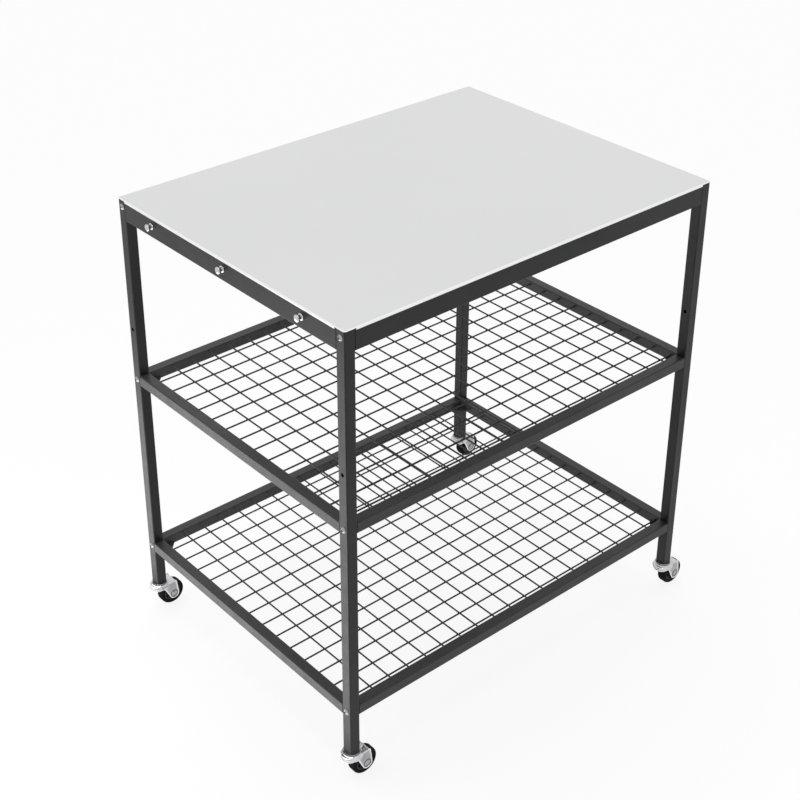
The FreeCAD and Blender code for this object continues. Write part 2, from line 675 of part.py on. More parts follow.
def build_top():
    save("top_panel", top_panel())
    save("top_cross_brace", top_cross_brace())
    save("panel_clips", panel_clips())
    save("panel_clip_screws", panel_clip_screws())


def build_frame():
    save("top_rail_front", cut_clip_holes(long_rail(-1, FRAME_TOP_Z, TOP_RAIL_HEIGHT)))
    save("top_rail_back", cut_clip_holes(long_rail(1, FRAME_TOP_Z, TOP_RAIL_HEIGHT)))
    save("top_rail_left", left_top_rail())
    save("top_rail_right", cut_clip_holes(short_rail(1, FRAME_TOP_Z, TOP_RAIL_HEIGHT)))
    for level, top_z in (("mid", MID_RAIL_TOP_Z), ("bottom", BOTTOM_RAIL_TOP_Z)):
        save(level + "_rail_front", long_rail(-1, top_z, TUBE_SIDE))
        save(level + "_rail_back", long_rail(1, top_z, TUBE_SIDE))
        save(level + "_rail_left", short_rail(-1, top_z, TUBE_SIDE))
        save(level + "_rail_right", short_rail(1, top_z, TUBE_SIDE))
    for name, side_x, side_y in CORNERS:
        save("leg_" + name, leg(side_x, side_y))
    save("frame_bolts", frame_bolts())
    save("top_rail_end_nuts", end_nuts(FRAME_TOP_Z, TOP_RAIL_HEIGHT, TOP_BOLT_Z))
    save("shelf_rail_end_nuts", end_nuts(MID_RAIL_TOP_Z, TUBE_SIDE, MID_BOLT_Z)
         + end_nuts(BOTTOM_RAIL_TOP_Z, TUBE_SIDE, BOTTOM_BOLT_Z))
    save("corner_gussets", corner_gussets())
    save("leg_foot_inserts", leg_foot_inserts())


def build_shelves():
    save("mid_mesh_cross_wires", mesh_wires_across(MID_RAIL_TOP_Z, MID_MESH_START))
    save("mid_mesh_long_wires", mesh_wires_along(MID_RAIL_TOP_Z, MID_MESH_START))
    save("bottom_mesh_cross_wires", mesh_wires_across(BOTTOM_RAIL_TOP_Z, BOTTOM_MESH_START))
    save("bottom_mesh_long_wires", mesh_wires_along(BOTTOM_RAIL_TOP_Z, BOTTOM_MESH_START))


def build_hooks():
    for place, spot in zip(("front", "middle", "back"), hook_points()):
        save("peg_hook_" + place, peg_hook(spot))
    save("hook_rivet_nuts", hook_rivet_nuts())


def build_casters():
    for name, side_x, side_y in CORNERS:
        centre = caster_centre(side_x, side_y)
        save("caster_stem_" + name, caster_stem(centre))
        save("caster_bearing_" + name, caster_bearing(centre))
        save("caster_fork_" + name, caster_fork(centre))
        save("caster_axle_" + name, caster_axle(centre))
        save("wheel_hub_" + name, wheel_hub(centre))
        save("wheel_tyre_" + name, wheel_tyre(centre))


os.makedirs("parts", exist_ok=True)
build_top()
build_frame()
build_shelves()
build_hooks()
build_casters()
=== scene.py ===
import json
import math

import bmesh
import bpy
from mathutils import Matrix, Vector

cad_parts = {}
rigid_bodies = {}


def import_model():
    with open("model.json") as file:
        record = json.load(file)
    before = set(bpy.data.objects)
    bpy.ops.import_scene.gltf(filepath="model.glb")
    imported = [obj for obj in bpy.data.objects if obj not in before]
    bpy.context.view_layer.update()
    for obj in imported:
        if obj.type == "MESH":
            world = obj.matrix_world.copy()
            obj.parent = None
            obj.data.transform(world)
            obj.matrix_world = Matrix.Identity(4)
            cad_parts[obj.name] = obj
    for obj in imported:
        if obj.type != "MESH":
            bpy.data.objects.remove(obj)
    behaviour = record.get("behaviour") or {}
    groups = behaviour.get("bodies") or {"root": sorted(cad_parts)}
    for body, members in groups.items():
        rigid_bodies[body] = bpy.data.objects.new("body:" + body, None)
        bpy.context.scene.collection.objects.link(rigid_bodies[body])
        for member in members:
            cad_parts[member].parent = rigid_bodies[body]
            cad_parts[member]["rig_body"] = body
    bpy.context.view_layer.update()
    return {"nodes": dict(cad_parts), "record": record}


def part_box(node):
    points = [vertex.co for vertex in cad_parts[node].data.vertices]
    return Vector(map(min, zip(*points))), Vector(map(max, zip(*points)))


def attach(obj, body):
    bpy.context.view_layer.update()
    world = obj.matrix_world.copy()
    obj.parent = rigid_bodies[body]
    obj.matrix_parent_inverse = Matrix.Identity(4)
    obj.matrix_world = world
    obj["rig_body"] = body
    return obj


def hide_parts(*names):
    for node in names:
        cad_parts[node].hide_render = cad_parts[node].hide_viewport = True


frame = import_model()
nodes = frame["nodes"]
SLOT_OF = {part["node"]: part["material_slot"] for part in frame["record"]["subparts"]}
CORNERS = ("front_left", "front_right", "back_left", "back_right")
SIDES = ("front", "back", "left", "right")
PEGS = ("front", "middle", "back")
SHELVES = ("mid", "bottom")
TABLE = "table"
# Legs and top rails take a darker copy of the black powder coat: painted shade
PAINTED_SHADE_TUBES = ["leg_" + corner for corner in CORNERS] + ["top_rail_" + side for side in SIDES]

# Camera, fitted to the photograph's straight edges
PHOTO_SIZE = 800
FOCAL_PX = 1562.0
PRINCIPAL_PX = (366.9, 290.0)
SENSOR_MM = 36.0
VIEW_AZIMUTH = math.radians(-39.57)
VIEW_ELEVATION = math.radians(27.99)
VIEW_ROLL = math.radians(-0.43)
CAMERA_PLACE = Vector((-1.5958, -1.7977, 1.9468))

# Stage
FLOOR_HALF = 6.0
FLOOR_GREY = 0.82
FLOOR_ROUGHNESS = 0.9
FLOOR_SPECULAR = 0.1
FLOOR_WHITE_SHARE = 0.88
CARD_HEIGHT = 0.01
WORLD_STRENGTH = 0.30
WHITE_STRENGTH = 1.0

# Materials: the values that most of a noise lies between, and how much paler dust is than its coat
NOISE_LOW = 0.3
NOISE_HIGH = 0.7
DUST_PALER = 1.5

# Band of painted highlight along the worktop's bent edge, in metres inside the panel's outline
RIM_HIGHLIGHT_START = 0.0030
RIM_HIGHLIGHT_END = 0.0018

# Welds, in metres, with a seam's ripple as a share of its radius and a step that tells levels apart
WIRE_RADIUS = 0.0015
WELD_SPREAD = 0.0026
WELD_DEPTH = 0.0012
NUGGET_SPREAD = 0.0019
NUGGET_HEIGHT = WIRE_RADIUS * 0.8
SEAM_RADIUS = 0.0009
SEAM_RIPPLE = 0.22
SEAM_RIPPLE_LENGTH = 0.0022
SEAM_END_GAP = 0.006
GUSSET_LEVEL_STEP = 0.2

# Pressed fork, in metres: along X from the swivel axis, down from the crown or out from the wheel bolt
FORK_HALF_WIDTH = 0.014
FORK_FRONT_REACH = 0.0185
FORK_REAR_REACH = 0.028
FORK_REAR_CORNER = 0.004
FORK_HOOD_END = 0.002
FORK_HOOD_ROUND = 0.006
FORK_HOOD_DEPTH = 0.009
FORK_EYE_RADIUS = 0.0095
FORK_LIP_RADIUS = 0.0010
CHEEK_PANEL_INSET = 0.0024
CHEEK_PANEL_BELOW_CROWN = 0.0035
CHEEK_PANEL_FROM_AXLE = 0.0084
CHEEK_PANEL_RISE = 0.0002
CHEEK_PANEL_BEVEL = 0.0004

# Ring round the wheel bolt, as (out from the cheek, radius)
AXLE_RING_PROFILE = ((-0.0003, 0.0059), (0.0003, 0.0059), (0.0007, 0.0064), (0.0007, 0.0074),
                     (0.0003, 0.0080), (-0.0003, 0.0080))

# Tyre and hub, in metres: a groove's mouth, floor, floor and mouth, from the bore or from the middle
TYRE_SHOULDER = 0.004
TYRE_GROOVE_DEPTH = 0.0006
TYRE_SIDE_GROOVE = (0.0012, 0.0018, 0.0024, 0.0030)
TYRE_TREAD_GROOVE = (0.0030, 0.0026, 0.0016, 0.0012)
HUB_RIB_COUNT = 8
HUB_RIB_START = 0.0062
HUB_RIB_END = 0.0157
HUB_RIB_WIDTH = 0.0136
HUB_RIB_THICKNESS = 0.0014

# Rounded edges, in metres and degrees
PLATED_EDGE = 0.0004
MOULDED_EDGE = 0.0005
EDGE_SEGMENTS = 2
SAME_SPOT = 1e-6
FLAT_ANGLE = 0.5

# Angles between faces, in degrees, up to which a piece is shaded smooth
SMOOTH_ANGLE = 40.0
BEAD_SMOOTH_ANGLE = 80.0
RING_SMOOTH_ANGLE = 60.0
TYRE_SMOOTH_ANGLE = 35.0
PRESSED_SMOOTH_ANGLE = 30.0

# How finely the details are drawn: (round, from pole to pole) for the welds, or points in a stretch
WELD_FACETS = (8, 5)
NUGGET_FACETS = (6, 4)
SEAM_SIDES = 8
SEAM_POINTS = 30
LIP_SIDES = 10
CORNER_POINTS = 7
EYE_POINTS = 20
HOOD_POINTS = 25
CHEEK_PANEL_POINTS = 16
RING_SEGMENTS = 64
TYRE_SEGMENTS = 96
SHOULDER_POINTS = 8

# A direction that no bead starts along
OFF_PATH = Vector((0.31, 0.27, 0.91))


def link(obj):
    bpy.context.scene.collection.objects.link(obj)
    return obj


def set_material(obj, material):
    obj.data.materials.clear()
    obj.data.materials.append(material)


# Materials

class Graph:
    """A short way to write one material's shader nodes."""

    def __init__(self, name):
        self.material = bpy.data.materials.new(name)
        self.material.use_nodes = True
        self.tree = self.material.node_tree
        self.shader = self.tree.nodes["Principled BSDF"]
        self.place = self.tree.nodes.new("ShaderNodeTexCoord").outputs["Object"]

    def node(self, kind, **settings):
        made = self.tree.nodes.new("ShaderNode" + kind)
        for key, value in settings.items():
            setattr(made, key, value)
        return made

    def wire(self, source, target):
        self.tree.links.new(source, target)

    def stretched(self, scale):
        """The object's coordinates, scaled by a vector."""
        mapping = self.node("Mapping")
        mapping.inputs["Scale"].default_value = scale
        self.wire(self.place, mapping.inputs["Vector"])
        return mapping.outputs["Vector"]

    def noise(self, scale, detail, roughness, vector=None):
        made = self.node("TexNoise")
        made.inputs["Scale"].default_value = scale
        made.inputs["Detail"].default_value = detail
        made.inputs["Roughness"].default_value = roughness
        self.wire(vector or self.place, made.inputs["Vector"])
        return made.outputs["Fac"]

    def ramp(self, factor, low, high, start=NOISE_LOW, end=NOISE_HIGH):
        """Maps a factor to a colour between low and high."""
        made = self.node("ValToRGB")
        made.color_ramp.elements[0].position = start
        made.color_ramp.elements[1].position = end
        made.color_ramp.elements[0].color = (*low, 1.0)
        made.color_ramp.elements[1].color = (*high, 1.0)
        self.wire(factor, made.inputs["Fac"])
        return made.outputs["Color"]

    def spread(self, factor, low, high, start=NOISE_LOW, end=NOISE_HIGH):
        """Maps a factor to a number between low and high."""
        made = self.node("MapRange")
        made.inputs["From Min"].default_value = start
        made.inputs["From Max"].default_value = end
        made.inputs["To Min"].default_value = low
        made.inputs["To Max"].default_value = high
        self.wire(factor, made.inputs["Value"])
        return made.outputs["Result"]

    def mix(self, factor, first, second):
        made = self.node("Mix", data_type="RGBA")
        self.wire(factor, made.inputs["Factor"])
        self.wire(first, made.inputs["A"])
        self.wire(second, made.inputs["B"])
        return made.outputs["Result"]

    def rim(self, axis, start, end):
        """Rises from 0 to 1 as the distance from the middle along one axis goes from start to end."""
        parts = self.node("SeparateXYZ")
        self.wire(self.place, parts.inputs["Vector"])
        away = self.node("Math", operation="ABSOLUTE")
        self.wire(parts.outputs[axis], away.inputs[0])
        return self.spread(away.outputs[0], 0.0, 1.0, start, end)

    def larger(self, first, second):
        made = self.node("Math", operation="MAXIMUM")
        self.wire(first, made.inputs[0])
        self.wire(second, made.inputs[1])
        return made.outputs[0]

    def bump(self, height, strength, distance):
        made = self.node("Bump")
        made.inputs["Strength"].default_value = strength
        made.inputs["Distance"].default_value = distance
        self.wire(height, made.inputs["Height"])
        self.feed("Normal", made.outputs["Normal"])

    def feed(self, socket, source):
        self.wire(source, self.shader.inputs[socket])

    def fix(self, socket, value):
        self.shader.inputs[socket].default_value = value


def powder_coat(name, dark, light, smooth, rough):
    """Satin black powder coat: fine orange peel, faint cloudy variation and dust."""
    g = Graph(name)
    clouds = g.noise(scale=9.0, detail=4.0, roughness=0.6)
    specks = g.noise(scale=900.0, detail=2.0, roughness=0.6)
    gloss = g.noise(scale=35.0, detail=5.0, roughness=0.6)
    peel = g.noise(scale=1400.0, detail=2.0, roughness=0.5)
    tone = g.ramp(clouds, dark, light)
    dusty = g.ramp(specks, dark, [channel * DUST_PALER for channel in light], start=0.62, end=0.8)
    dust = g.spread(specks, low=0.0, high=0.35, start=0.6, end=0.8)
    g.feed("Base Color", g.mix(dust, tone, dusty))
    g.feed("Roughness", g.spread(gloss, smooth, rough))
    g.fix("Specular IOR Level", 0.25)
    g.bump(peel, strength=0.12, distance=0.00005)
    return g.material


def stainless(name):
    """Fine brushed stainless sheet, brushed along the table, with a painted highlight along its bent edges.
    """
    g = Graph(name)
    edge_x, edge_y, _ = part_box("top_panel")[1]
    streaks = g.noise(scale=1.0, detail=4.0, roughness=0.7, vector=g.stretched((3.0, 900.0, 900.0)))
    fine = g.noise(scale=1.0, detail=3.0, roughness=0.6, vector=g.stretched((14.0, 3500.0, 3500.0)))
    clouds = g.noise(scale=3.0, detail=3.0, roughness=0.5)
    tone = g.ramp(streaks, (0.695, 0.697, 0.70), (0.755, 0.755, 0.757))
    wide = g.ramp(clouds, (0.71, 0.711, 0.715), (0.74, 0.74, 0.742))
    # Painted highlight: the band along the bent edges gets a brighter colour, standing in for the light the
    # bends catch
    painted_rim_highlight = g.ramp(streaks, (0.845, 0.846, 0.85), (0.89, 0.89, 0.892))
    half = g.spread(fine, low=0.35, high=0.65)
    rim_highlight_mask = g.larger(g.rim("X", edge_x - RIM_HIGHLIGHT_START, edge_x - RIM_HIGHLIGHT_END),
                     g.rim("Y", edge_y - RIM_HIGHLIGHT_START, edge_y - RIM_HIGHLIGHT_END))
    g.feed("Base Color", g.mix(rim_highlight_mask, g.mix(half, tone, wide), painted_rim_highlight))
    g.feed("Roughness", g.spread(streaks, low=0.34, high=0.44))
    g.fix("Metallic", 1.0)
    g.bump(fine, strength=0.05, distance=0.00003)
    return g.material


def chrome(name, low, high):
    """Bright plating with faint smears."""
    g = Graph(name)
    smears = g.noise(scale=60.0, detail=4.0, roughness=0.6)
    waves = g.noise(scale=240.0, detail=2.0, roughness=0.5)
    g.feed("Base Color", g.ramp(smears, low, high))
    g.feed("Roughness", g.spread(smears, low=0.05, high=0.14))
    g.fix("Metallic", 1.0)
    g.bump(waves, strength=0.08, distance=0.00008)
    return g.material


def plated_steel(name, low, high):
    """Dull plated or bare steel on small hardware."""
    g = Graph(name)
    clouds = g.noise(scale=120.0, detail=4.0, roughness=0.6)
    grain = g.noise(scale=900.0, detail=2.0, roughness=0.5)
    g.feed("Base Color", g.ramp(clouds, low, high))
    g.feed("Roughness", g.spread(clouds, low=0.3, high=0.45))
    g.fix("Metallic", 1.0)
    g.bump(grain, strength=0.06, distance=0.00004)
    return g.material


def moulded_plastic(name, low, high):
    """Black moulded nylon with a fine spark texture."""
    g = Graph(name)
    tone = g.noise(scale=80.0, detail=3.0, roughness=0.5)
    gloss = g.noise(scale=300.0, detail=3.0, roughness=0.5)
    spark = g.noise(scale=1800.0, detail=2.0, roughness=0.5)
    g.feed("Base Color", g.ramp(tone, low, high))
    g.feed("Roughness", g.spread(gloss, low=0.45, high=0.6))
    g.bump(spark, strength=0.15, distance=0.00005)
    return g.material


def rubber(name, low, high):
    """Matte tyre rubber with dust worked into it."""
    g = Graph(name)
    dust = g.noise(scale=110.0, detail=5.0, roughness=0.65)
    grain = g.noise(scale=700.0, detail=3.0, roughness=0.6)
    g.feed("Base Color", g.ramp(dust, low, high))
    g.feed("Roughness", g.spread(dust, low=0.6, high=0.85))
    g.fix("Specular IOR Level", 0.1)
    g.bump(grain, strength=0.25, distance=0.0001)
    return g.material


# One material for each slot, with darker copies that are painted shade and brighter copies that are painted
# highlight for some nodes and pieces of a slot
MATERIALS = {
    "stainless_top": stainless("brushed_stainless"),
    "black_powder_coat": powder_coat("black_powder_coat_tube", (0.026, 0.026, 0.0265),
                                     (0.038, 0.038, 0.0385), smooth=0.32, rough=0.44),
    # The same black powder coat made darker, as painted shade on the legs and top rails
    "painted_shade_frame_coat": powder_coat("black_powder_coat_painted_shade", (0.009, 0.009, 0.0095),
                               (0.015, 0.015, 0.0155), smooth=0.32, rough=0.44),
    "black_wire": powder_coat("black_powder_coat_wire", (0.020, 0.020, 0.021),
                              (0.032, 0.032, 0.033), smooth=0.38, rough=0.52),
    "bolt_steel": plated_steel("bolt_steel", (0.28, 0.28, 0.28), (0.42, 0.42, 0.42)),
    # A darker copy of the bolt steel, painted shade round the wheel bolts
    "painted_shade_ring_steel": plated_steel("painted_shade_ring_steel", (0.10, 0.10, 0.10), (0.17, 0.17, 0.17)),
    "chrome": chrome("bright_chrome", (0.50, 0.50, 0.51), (0.66, 0.66, 0.67)),
    # A darker copy of the chrome, painted shade on the fork's cheek panels
    "painted_shade_chrome": chrome("painted_shade_chrome", (0.31, 0.31, 0.32), (0.42, 0.42, 0.43)),
    # A brighter copy of the chrome, painted highlight on the fork's rolled edge
    "painted_highlight_chrome": chrome("painted_highlight_chrome", (0.78, 0.78, 0.79), (0.90, 0.90, 0.91)),
    "zinc_hardware": plated_steel("bright_zinc", (0.52, 0.52, 0.50), (0.64, 0.64, 0.61)),
    "bearing_steel": plated_steel("bearing_steel", (0.5, 0.5, 0.5), (0.6, 0.6, 0.6)),
    "black_plastic": moulded_plastic("black_nylon_plug", (0.008, 0.008, 0.008), (0.014, 0.014, 0.014)),
    "hub_plastic": moulded_plastic("black_nylon_hub", (0.014, 0.014, 0.014), (0.024, 0.024, 0.024)),
    "tyre_rubber": rubber("tyre_rubber", (0.003, 0.003, 0.003), (0.009, 0.0088, 0.0086)),
}
for node_name in sorted(nodes):
    # Legs and top rails get the darker copy of the coat, which is painted shade
    look = "painted_shade_frame_coat" if node_name in PAINTED_SHADE_TUBES else SLOT_OF[node_name]
    set_material(nodes[node_name], MATERIALS[look])


# Making and placing detail pieces

def finished(name, work, slot, body, look=None, smooth_angle=SMOOTH_ANGLE):
    """Turns a bmesh into a piece of a slot that moves with a body, in the slot's look or another one."""
    mesh = bpy.data.meshes.new(name)
    bmesh.ops.recalc_face_normals(work, faces=work.faces)
    for face in work.faces:
        face.smooth = True
    work.to_mesh(mesh)
    work.free()
    mesh.set_sharp_from_angle(angle=math.radians(smooth_angle))
    piece = link(bpy.data.objects.new(name, mesh))
    set_material(piece, MATERIALS[look or slot])
    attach(piece, body)
    return piece


def softened(name, edge_break):
    """A copy of a CAD node with its sharp edges rounded, shown in place of the node."""
    work = bmesh.new()
    work.from_mesh(nodes[name].data)
    bmesh.ops.remove_doubles(work, verts=work.verts, dist=SAME_SPOT)
    bmesh.ops.dissolve_limit(work, angle_limit=math.radians(FLAT_ANGLE), verts=work.verts, edges=work.edges)
    sharp = [edge for edge in work.edges
             if len(edge.link_faces) == 2 and edge.calc_face_angle() > math.radians(SMOOTH_ANGLE)]
    bmesh.ops.bevel(work, geom=sharp, offset=edge_break, segments=EDGE_SEGMENTS, profile=0.5,
                    affect="EDGES", clamp_overlap=True)
    piece = finished(name + "_softened", work, SLOT_OF[name], nodes[name]["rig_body"])
    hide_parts(name)


def join_rings(work, first, second):
    """Fills the band between two closed rings that have as many points."""
    for index in range(len(first)):
        after = (index + 1) % len(first)
        work.faces.new((first[index], first[after], second[after], second[index]))


def add_lathe(work, profile, centre, axis, segments):
    """Adds a ring: the closed profile of (along, radius) pairs turned round axis."""
    side = axis.orthogonal().normalized()
    rings = []
    for index in range(segments):
        out = Matrix.Rotation(2 * math.pi * index / segments, 3, axis) @ side
        rings.append([work.verts.new(centre + axis * along + out * radius) for along, radius in profile])
    for ring, following in zip(rings, rings[1:] + rings[:1]):
        join_rings(work, ring, following)


def add_sweep(work, path, radius, sides, ripple=0.0, ripple_length=1.0):
    """Adds a round bead along a path, with its radius rippled like a weld if asked."""
    rings = []
    travelled = 0.0
    for index, spot in enumerate(path):
        before = path[max(index - 1, 0)]
        after = path[min(index + 1, len(path) - 1)]
        ahead = (after - before).normalized()
        if index == 0:
            across = ahead.cross(OFF_PATH).normalized()
        else:
            across = (across - ahead * across.dot(ahead)).normalized()
        up = ahead.cross(across)
        travelled += (spot - before).length
        swell = radius * (1.0 + ripple * math.sin(2 * math.pi * travelled / ripple_length))
        ring = []
        for side in range(sides):
            angle = 2 * math.pi * side / sides
            ring.append(work.verts.new(spot + (across * math.cos(angle) + up * math.sin(angle)) * swell))
        rings.append(ring)
    for ring, following in zip(rings, rings[1:]):
        join_rings(work, ring, following)
    work.faces.new(list(reversed(rings[0])))
    work.faces.new(rings[-1])


def add_blob(work, place, spread, facets):
    """Adds a small ellipsoid, the shape of one weld."""
    made = bmesh.ops.create_uvsphere(work, u_segments=facets[0], v_segments=facets[1], radius=1.0)
    bmesh.ops.scale(work, vec=spread, verts=made["verts"])
    bmesh.ops.translate(work, vec=place, verts=made["verts"])


# Points and angles in a plane

def spaced(start, end, count):
    """Numbers at even steps from start to end."""
    return [start + (end - start) * index / (count - 1) for index in range(count)]


def on_circle(centre, radius, angle):
    """The point of a circle at an angle in degrees."""
    turn = math.radians(angle)
    return centre[0] + radius * math.cos(turn), centre[1] + radius * math.sin(turn)


def arc(centre, radius, start, end, count):
    """Points round a circle from one angle to another, in degrees."""
    return [on_circle(centre, radius, angle) for angle in spaced(start, end, count)]


def tangent_angle(outside, centre, radius, side):
    """Where round a circle, in degrees, a line from a point outside touches it, on the side 1 or -1."""
    reach = (outside[0] - centre[0], outside[1] - centre[1])
    angle = math.atan2(reach[1], reach[0]) + side * math.acos(radius / math.hypot(*reach))
    return math.degrees(angle)


def rounded_corner(before, corner, after, reach):
    """Points that round a corner, from reach before it to reach after it."""
    first = Vector(corner) + (Vector(before) - Vector(corner)).normalized() * reach
    last = Vector(corner) + (Vector(after) - Vector(corner)).normalized() * reach
    points = []
    for t in spaced(0.0, 1.0, CORNER_POINTS):
        point = first * (1 - t) ** 2 + Vector(corner) * (2 * t * (1 - t)) + last * t ** 2
        points.append((point.x, point.y))
    return points


# Welds of the mesh shelves and the gussets

def wire_centres(node, axis):
    """The places along an axis of one layer's wires, told apart by the gaps between their points."""
    values = sorted(getattr(vertex.co, axis) for vertex in nodes[node].data.vertices)
    groups = [[values[0]]]
    for value in values[1:]:
        if value - groups[-1][-1] > WIRE_RADIUS:
            groups.append([])
        groups[-1].append(value)
    return [(group[0] + group[-1]) / 2 for group in groups]


def shelf_welds(level):
    """Flattened weld collars at the wire ends and small nuggets where the wires cross."""
    cross_node = level + "_mesh_cross_wires"
    long_node = level + "_mesh_long_wires"
    cross_x = wire_centres(cross_node, "x")
    long_y = wire_centres(long_node, "y")
    cross_low, cross_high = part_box(cross_node)
    long_low, long_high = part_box(long_node)
    cross_z = (cross_low.z + cross_high.z) / 2
    long_z = (long_low.z + long_high.z) / 2
    work = bmesh.new()
    for x in cross_x:
        for y in (cross_low.y, cross_high.y):
            add_blob(work, (x, y, cross_z), (WELD_SPREAD, WELD_DEPTH, WELD_SPREAD), WELD_FACETS)
    for y in long_y:
        for x in (long_low.x, long_high.x):
            add_blob(work, (x, y, long_z), (WELD_DEPTH, WELD_SPREAD, WELD_SPREAD), WELD_FACETS)
    for x in cross_x:
        for y in long_y:
            add_blob(work, (x, y, (cross_z + long_z) / 2), (NUGGET_SPREAD, NUGGET_SPREAD, NUGGET_HEIGHT),
                     NUGGET_FACETS)
    finished(level + "_mesh_welds", work, "black_wire", TABLE, smooth_angle=BEAD_SMOOTH_ANGLE)


def gusset_welds():
    """Rippled weld seams along the gussets' two welded edges."""
    plates = {}
    for vertex in nodes["corner_gussets"].data.vertices:
        # One plate lies at each corner on each level
        key = (vertex.co.x > 0, vertex.co.y > 0, round(vertex.co.z / GUSSET_LEVEL_STEP))
        plates.setdefault(key, []).append(vertex.co)
    work = bmesh.new()
    for (right, back, _), points in sorted(plates.items()):
        side_x = 1 if right else -1
        side_y = 1 if back else -1
        across_x = [side_x * spot.x for spot in points]
        across_y = [side_y * spot.y for spot in points]
        reach_x = max(across_x)
        reach_y = max(across_y)
        z = max(spot.z for spot in points)
        seam_x = spaced(min(across_x), reach_x - SEAM_END_GAP, SEAM_POINTS)
        seam_y = spaced(min(across_y), reach_y - SEAM_END_GAP, SEAM_POINTS)
        for path in ([Vector((side_x * reach_x, side_y * y, z)) for y in seam_y],
                     [Vector((side_x * x, side_y * reach_y, z)) for x in seam_x]):
            add_sweep(work, path, SEAM_RADIUS, SEAM_SIDES, SEAM_RIPPLE, SEAM_RIPPLE_LENGTH)
    finished("gusset_weld_seams", work, "black_powder_coat", TABLE, smooth_angle=BEAD_SMOOTH_ANGLE)


# Casters

class Fork:
    """The places of one caster's fork, read from the CAD nodes.

    The points are (x, z), with x from the swivel axis and z from the floor. The cheek's two straight
    edges run from the hood's end and the crown's rear corner to the eye round the wheel bolt, which
    they touch at the two angles.
    """

    def __init__(self, name):
        stem_low, stem_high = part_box("caster_stem_" + name)
        tyre_low, tyre_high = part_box("wheel_tyre_" + name)
        bearing_low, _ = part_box("caster_bearing_" + name)
        self.swivel = (stem_low + stem_high) / 2
        self.axle = (tyre_low + tyre_high) / 2
        self.crown_z = bearing_low.z
        self.hood_z = self.crown_z - FORK_HOOD_DEPTH
        self.eye = (self.axle.x - self.swivel.x, self.axle.z)
        self.hood_end = (FORK_HOOD_END, self.hood_z)
        self.rear = (FORK_REAR_REACH, self.crown_z)
        self.hood_angle = tangent_angle(self.hood_end, self.eye, FORK_EYE_RADIUS, 1)
        self.rear_angle = tangent_angle(self.rear, self.eye, FORK_EYE_RADIUS, -1)


def fork_lip(name):
    """The rolled edge that runs down both cheeks and round the hood of the pressed fork."""
    fork = Fork(name)
    swivel = fork.swivel
    bend = FORK_FRONT_REACH - FORK_HALF_WIDTH
    hood_touch = on_circle(fork.eye, FORK_EYE_RADIUS, fork.hood_angle)
    # A full turn is added, so that the arc back to the hood runs under the wheel bolt
    rear_angle = fork.rear_angle + 360.0
    rear_touch = on_circle(fork.eye, FORK_EYE_RADIUS, rear_angle)
    edge = rounded_corner((-FORK_FRONT_REACH, fork.crown_z), fork.rear, rear_touch, FORK_REAR_CORNER)
    edge += arc(fork.eye, FORK_EYE_RADIUS, rear_angle, fork.hood_angle, EYE_POINTS)
    edge += reversed(rounded_corner((-bend, fork.hood_z), fork.hood_end, hood_touch, FORK_HOOD_ROUND))
    near = [Vector((swivel.x + x, swivel.y - FORK_HALF_WIDTH, z)) for x, z in edge]
    hood = [Vector((x, y, fork.hood_z)) for x, y in
            arc((swivel.x - bend, swivel.y), FORK_HALF_WIDTH, -90.0, -270.0, HOOD_POINTS)]
    far = [Vector((spot.x, 2 * swivel.y - spot.y, spot.z)) for spot in reversed(near)]
    work = bmesh.new()
    add_sweep(work, near + hood + far, FORK_LIP_RADIUS, LIP_SIDES)
    # The rolled edge is shown in the brighter chrome, which is painted highlight
    finished("caster_fork_lip_" + name, work, "chrome", "swivel_fork_" + name,
             look="painted_highlight_chrome", smooth_angle=BEAD_SMOOTH_ANGLE)


def axle_rings(name):
    """The rings pressed into both cheeks round the wheel bolt."""
    axle = Fork(name).axle
    work = bmesh.new()
    for side in (-1, 1):
        centre = Vector((axle.x, axle.y + side * FORK_HALF_WIDTH, axle.z))
        add_lathe(work, AXLE_RING_PROFILE, centre, Vector((0, side, 0)), RING_SEGMENTS)
    # The rings are shown in the darker steel, which is painted shade round the wheel bolt
    finished("caster_axle_rings_" + name, work, "bolt_steel", "swivel_fork_" + name,
             look="painted_shade_ring_steel", smooth_angle=RING_SMOOTH_ANGLE)


def cheek_panel_outline(fork):
    """The points (x, z) of the panel, which keeps an even distance from the cheek's straight edges."""
    eye = Vector(fork.eye)
    top_z = fork.crown_z - CHEEK_PANEL_BELOW_CROWN
    inner = FORK_EYE_RADIUS - CHEEK_PANEL_INSET
    swing = math.degrees(math.acos(inner / CHEEK_PANEL_FROM_AXLE))
    outline = [Vector(spot) for spot in arc(eye, CHEEK_PANEL_FROM_AXLE, fork.hood_angle - swing,
                                            fork.rear_angle + swing, CHEEK_PANEL_POINTS)]
    for corner, angle in ((fork.rear, fork.rear_angle), (fork.hood_end, fork.hood_angle)):
        out = Vector(on_circle((0.0, 0.0), 1.0, angle))
        along = (Vector(corner) - eye - out * FORK_EYE_RADIUS).normalized()
        start = eye + out * inner
        outline.append(start + along * ((top_z - start.y) / along.y))
    return outline


def cheek_panels(name):
    """The panel pressed into each cheek of the fork, between the crown and the wheel bolt."""
    fork = Fork(name)
    outline = cheek_panel_outline(fork)
    middle = sum(outline, Vector((0.0, 0.0))) / len(outline)
    work = bmesh.new()
    for side in (-1, 1):
        rings = []
        for rise, shrink in ((-CHEEK_PANEL_RISE, 0.0), (0.0, 0.0), (CHEEK_PANEL_RISE, CHEEK_PANEL_BEVEL)):
            flat = [spot + (middle - spot).normalized() * shrink for spot in outline]
            y = fork.swivel.y + side * (FORK_HALF_WIDTH + rise)
            rings.append([work.verts.new((fork.swivel.x + spot.x, y, spot.y)) for spot in flat])
        for lower, upper in zip(rings, rings[1:]):
            join_rings(work, lower, upper)
        work.faces.new(rings[0])
        work.faces.new(rings[-1])
    # The cheek panels are shown in the darker chrome, which is painted shade
    finished("caster_cheek_panels_" + name, work, "chrome", "swivel_fork_" + name,
             look="painted_shade_chrome", smooth_angle=PRESSED_SMOOTH_ANGLE)


